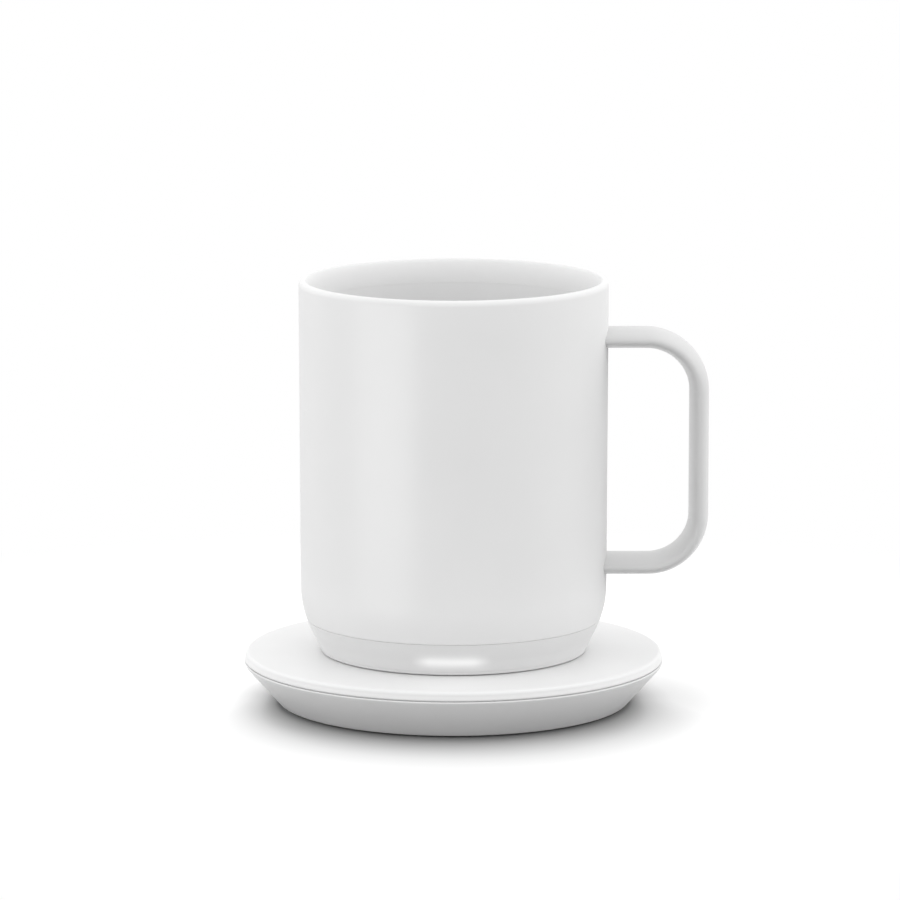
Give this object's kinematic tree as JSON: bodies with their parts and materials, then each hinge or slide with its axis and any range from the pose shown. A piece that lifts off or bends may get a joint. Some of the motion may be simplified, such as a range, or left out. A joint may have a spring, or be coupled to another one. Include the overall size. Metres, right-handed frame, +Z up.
{
  "type": "self heating mug",
  "caption": "Straight mug with a loop handle, a light slot in its lower band and a heater, cells and button in its base, lifting off a round charging coaster.",
  "frame": {"origin": "middle of the coaster's foot pad, on the surface that it stands on", "axes": "+Z up, +X along the handle, -Y towards the front with the light, +Y towards the power inlet"},
  "size_m": [0.1204, 0.109, 0.1105],
  "materials": {
    "coating": "satin white",
    "handle_coating": "satin white",
    "band_plastic": "satin white",
    "coaster_plastic": "satin white",
    "coaster_shell_plastic": "satin white",
    "window_plastic": "frosted, lit white from behind",
    "soft_rubber": "matt grey",
    "seal_rubber": "matt black",
    "button_plastic": "satin white",
    "gold_plate": "gold plated",
    "steel": "plain",
    "nickel": "plated",
    "black_plastic": "moulded",
    "board_laminate": "green solder mask",
    "chip_plastic": "moulded",
    "emitter_plastic": "clear over phosphor",
    "carrier_plastic": "moulded",
    "cell_wrap": "wrapped in blue film",
    "insulation_foam": "closed cell foam",
    "heater_film": "amber film",
    "red_wire": "insulated",
    "black_wire": "insulated"
  },
  "bodies": {
    "coaster": {"coaster_foot_pad": "soft_rubber", "coaster_lower_shell": "coaster_shell_plastic", "coaster_top_cover": "coaster_plastic", "coaster_screw_1": "steel", "coaster_screw_2": "steel", "coaster_screw_3": "steel", "coaster_board": "board_laminate", "coaster_controller": "chip_plastic", "coaster_capacitor": "nickel", "coaster_coil": "chip_plastic", "pin_block": "black_plastic", "pin_spring_inner": "steel", "pin_spring_outer": "steel", "inlet_jack": "black_plastic", "inlet_pin": "steel"},
    "mug": {"outer_shell": "coating", "inner_liner": "coating", "handle": "handle_coating", "handle_stud_upper": "steel", "handle_stud_lower": "steel", "base_band": "band_plastic", "light_window": "window_plastic", "light_emitter_1": "emitter_plastic", "light_emitter_2": "emitter_plastic", "base_cover": "band_plastic", "cover_seal": "seal_rubber", "foot_ring": "soft_rubber", "contact_ring_inner": "gold_plate", "contact_ring_outer": "gold_plate", "base_screw_1": "steel", "base_screw_2": "steel", "base_screw_3": "steel", "power_switch": "steel", "main_board": "board_laminate", "processor_chip": "chip_plastic", "radio_module": "nickel", "charger_chip": "chip_plastic", "power_coil": "chip_plastic", "battery_carrier": "carrier_plastic", "battery_cell_1": "cell_wrap", "battery_cell_2": "cell_wrap", "cell_link": "nickel", "battery_wire_1": "red_wire", "battery_wire_2": "black_wire", "heater_wire_1": "red_wire", "heater_wire_2": "black_wire", "insulation_disc": "insulation_foam", "heater_disc": "heater_film", "temperature_sensor_1": "chip_plastic", "temperature_sensor_2": "chip_plastic"},
    "button": {"power_button": "button_plastic", "switch_plunger": "black_plastic"},
    "pin_inner": {"contact_pin_inner": "gold_plate"},
    "pin_outer": {"contact_pin_outer": "gold_plate"}
  },
  "joints": [
    {"name": "mug_lift", "type": "slide", "parent": "coaster", "child": "mug", "axis": [0, 0, 1], "range_m": [0, 0.06]},
    {"name": "button_press", "type": "slide", "parent": "mug", "child": "button", "axis": [0, 0, 1], "range_m": [0, 0.0005], "stiffness_N_per_m": 1000, "springref_m": -0.001},
    {"name": "pin_inner_press", "type": "slide", "parent": "coaster", "child": "pin_inner", "axis": [0, 0, -1], "range_m": [0, 0.0007], "stiffness_N_per_m": 500, "springref_m": -0.001, "deforming": ["pin_spring_inner"]},
    {"name": "pin_outer_press", "type": "slide", "parent": "coaster", "child": "pin_outer", "axis": [0, 0, -1], "range_m": [0, 0.0007], "stiffness_N_per_m": 500, "springref_m": -0.001, "deforming": ["pin_spring_outer"]}
  ]
}
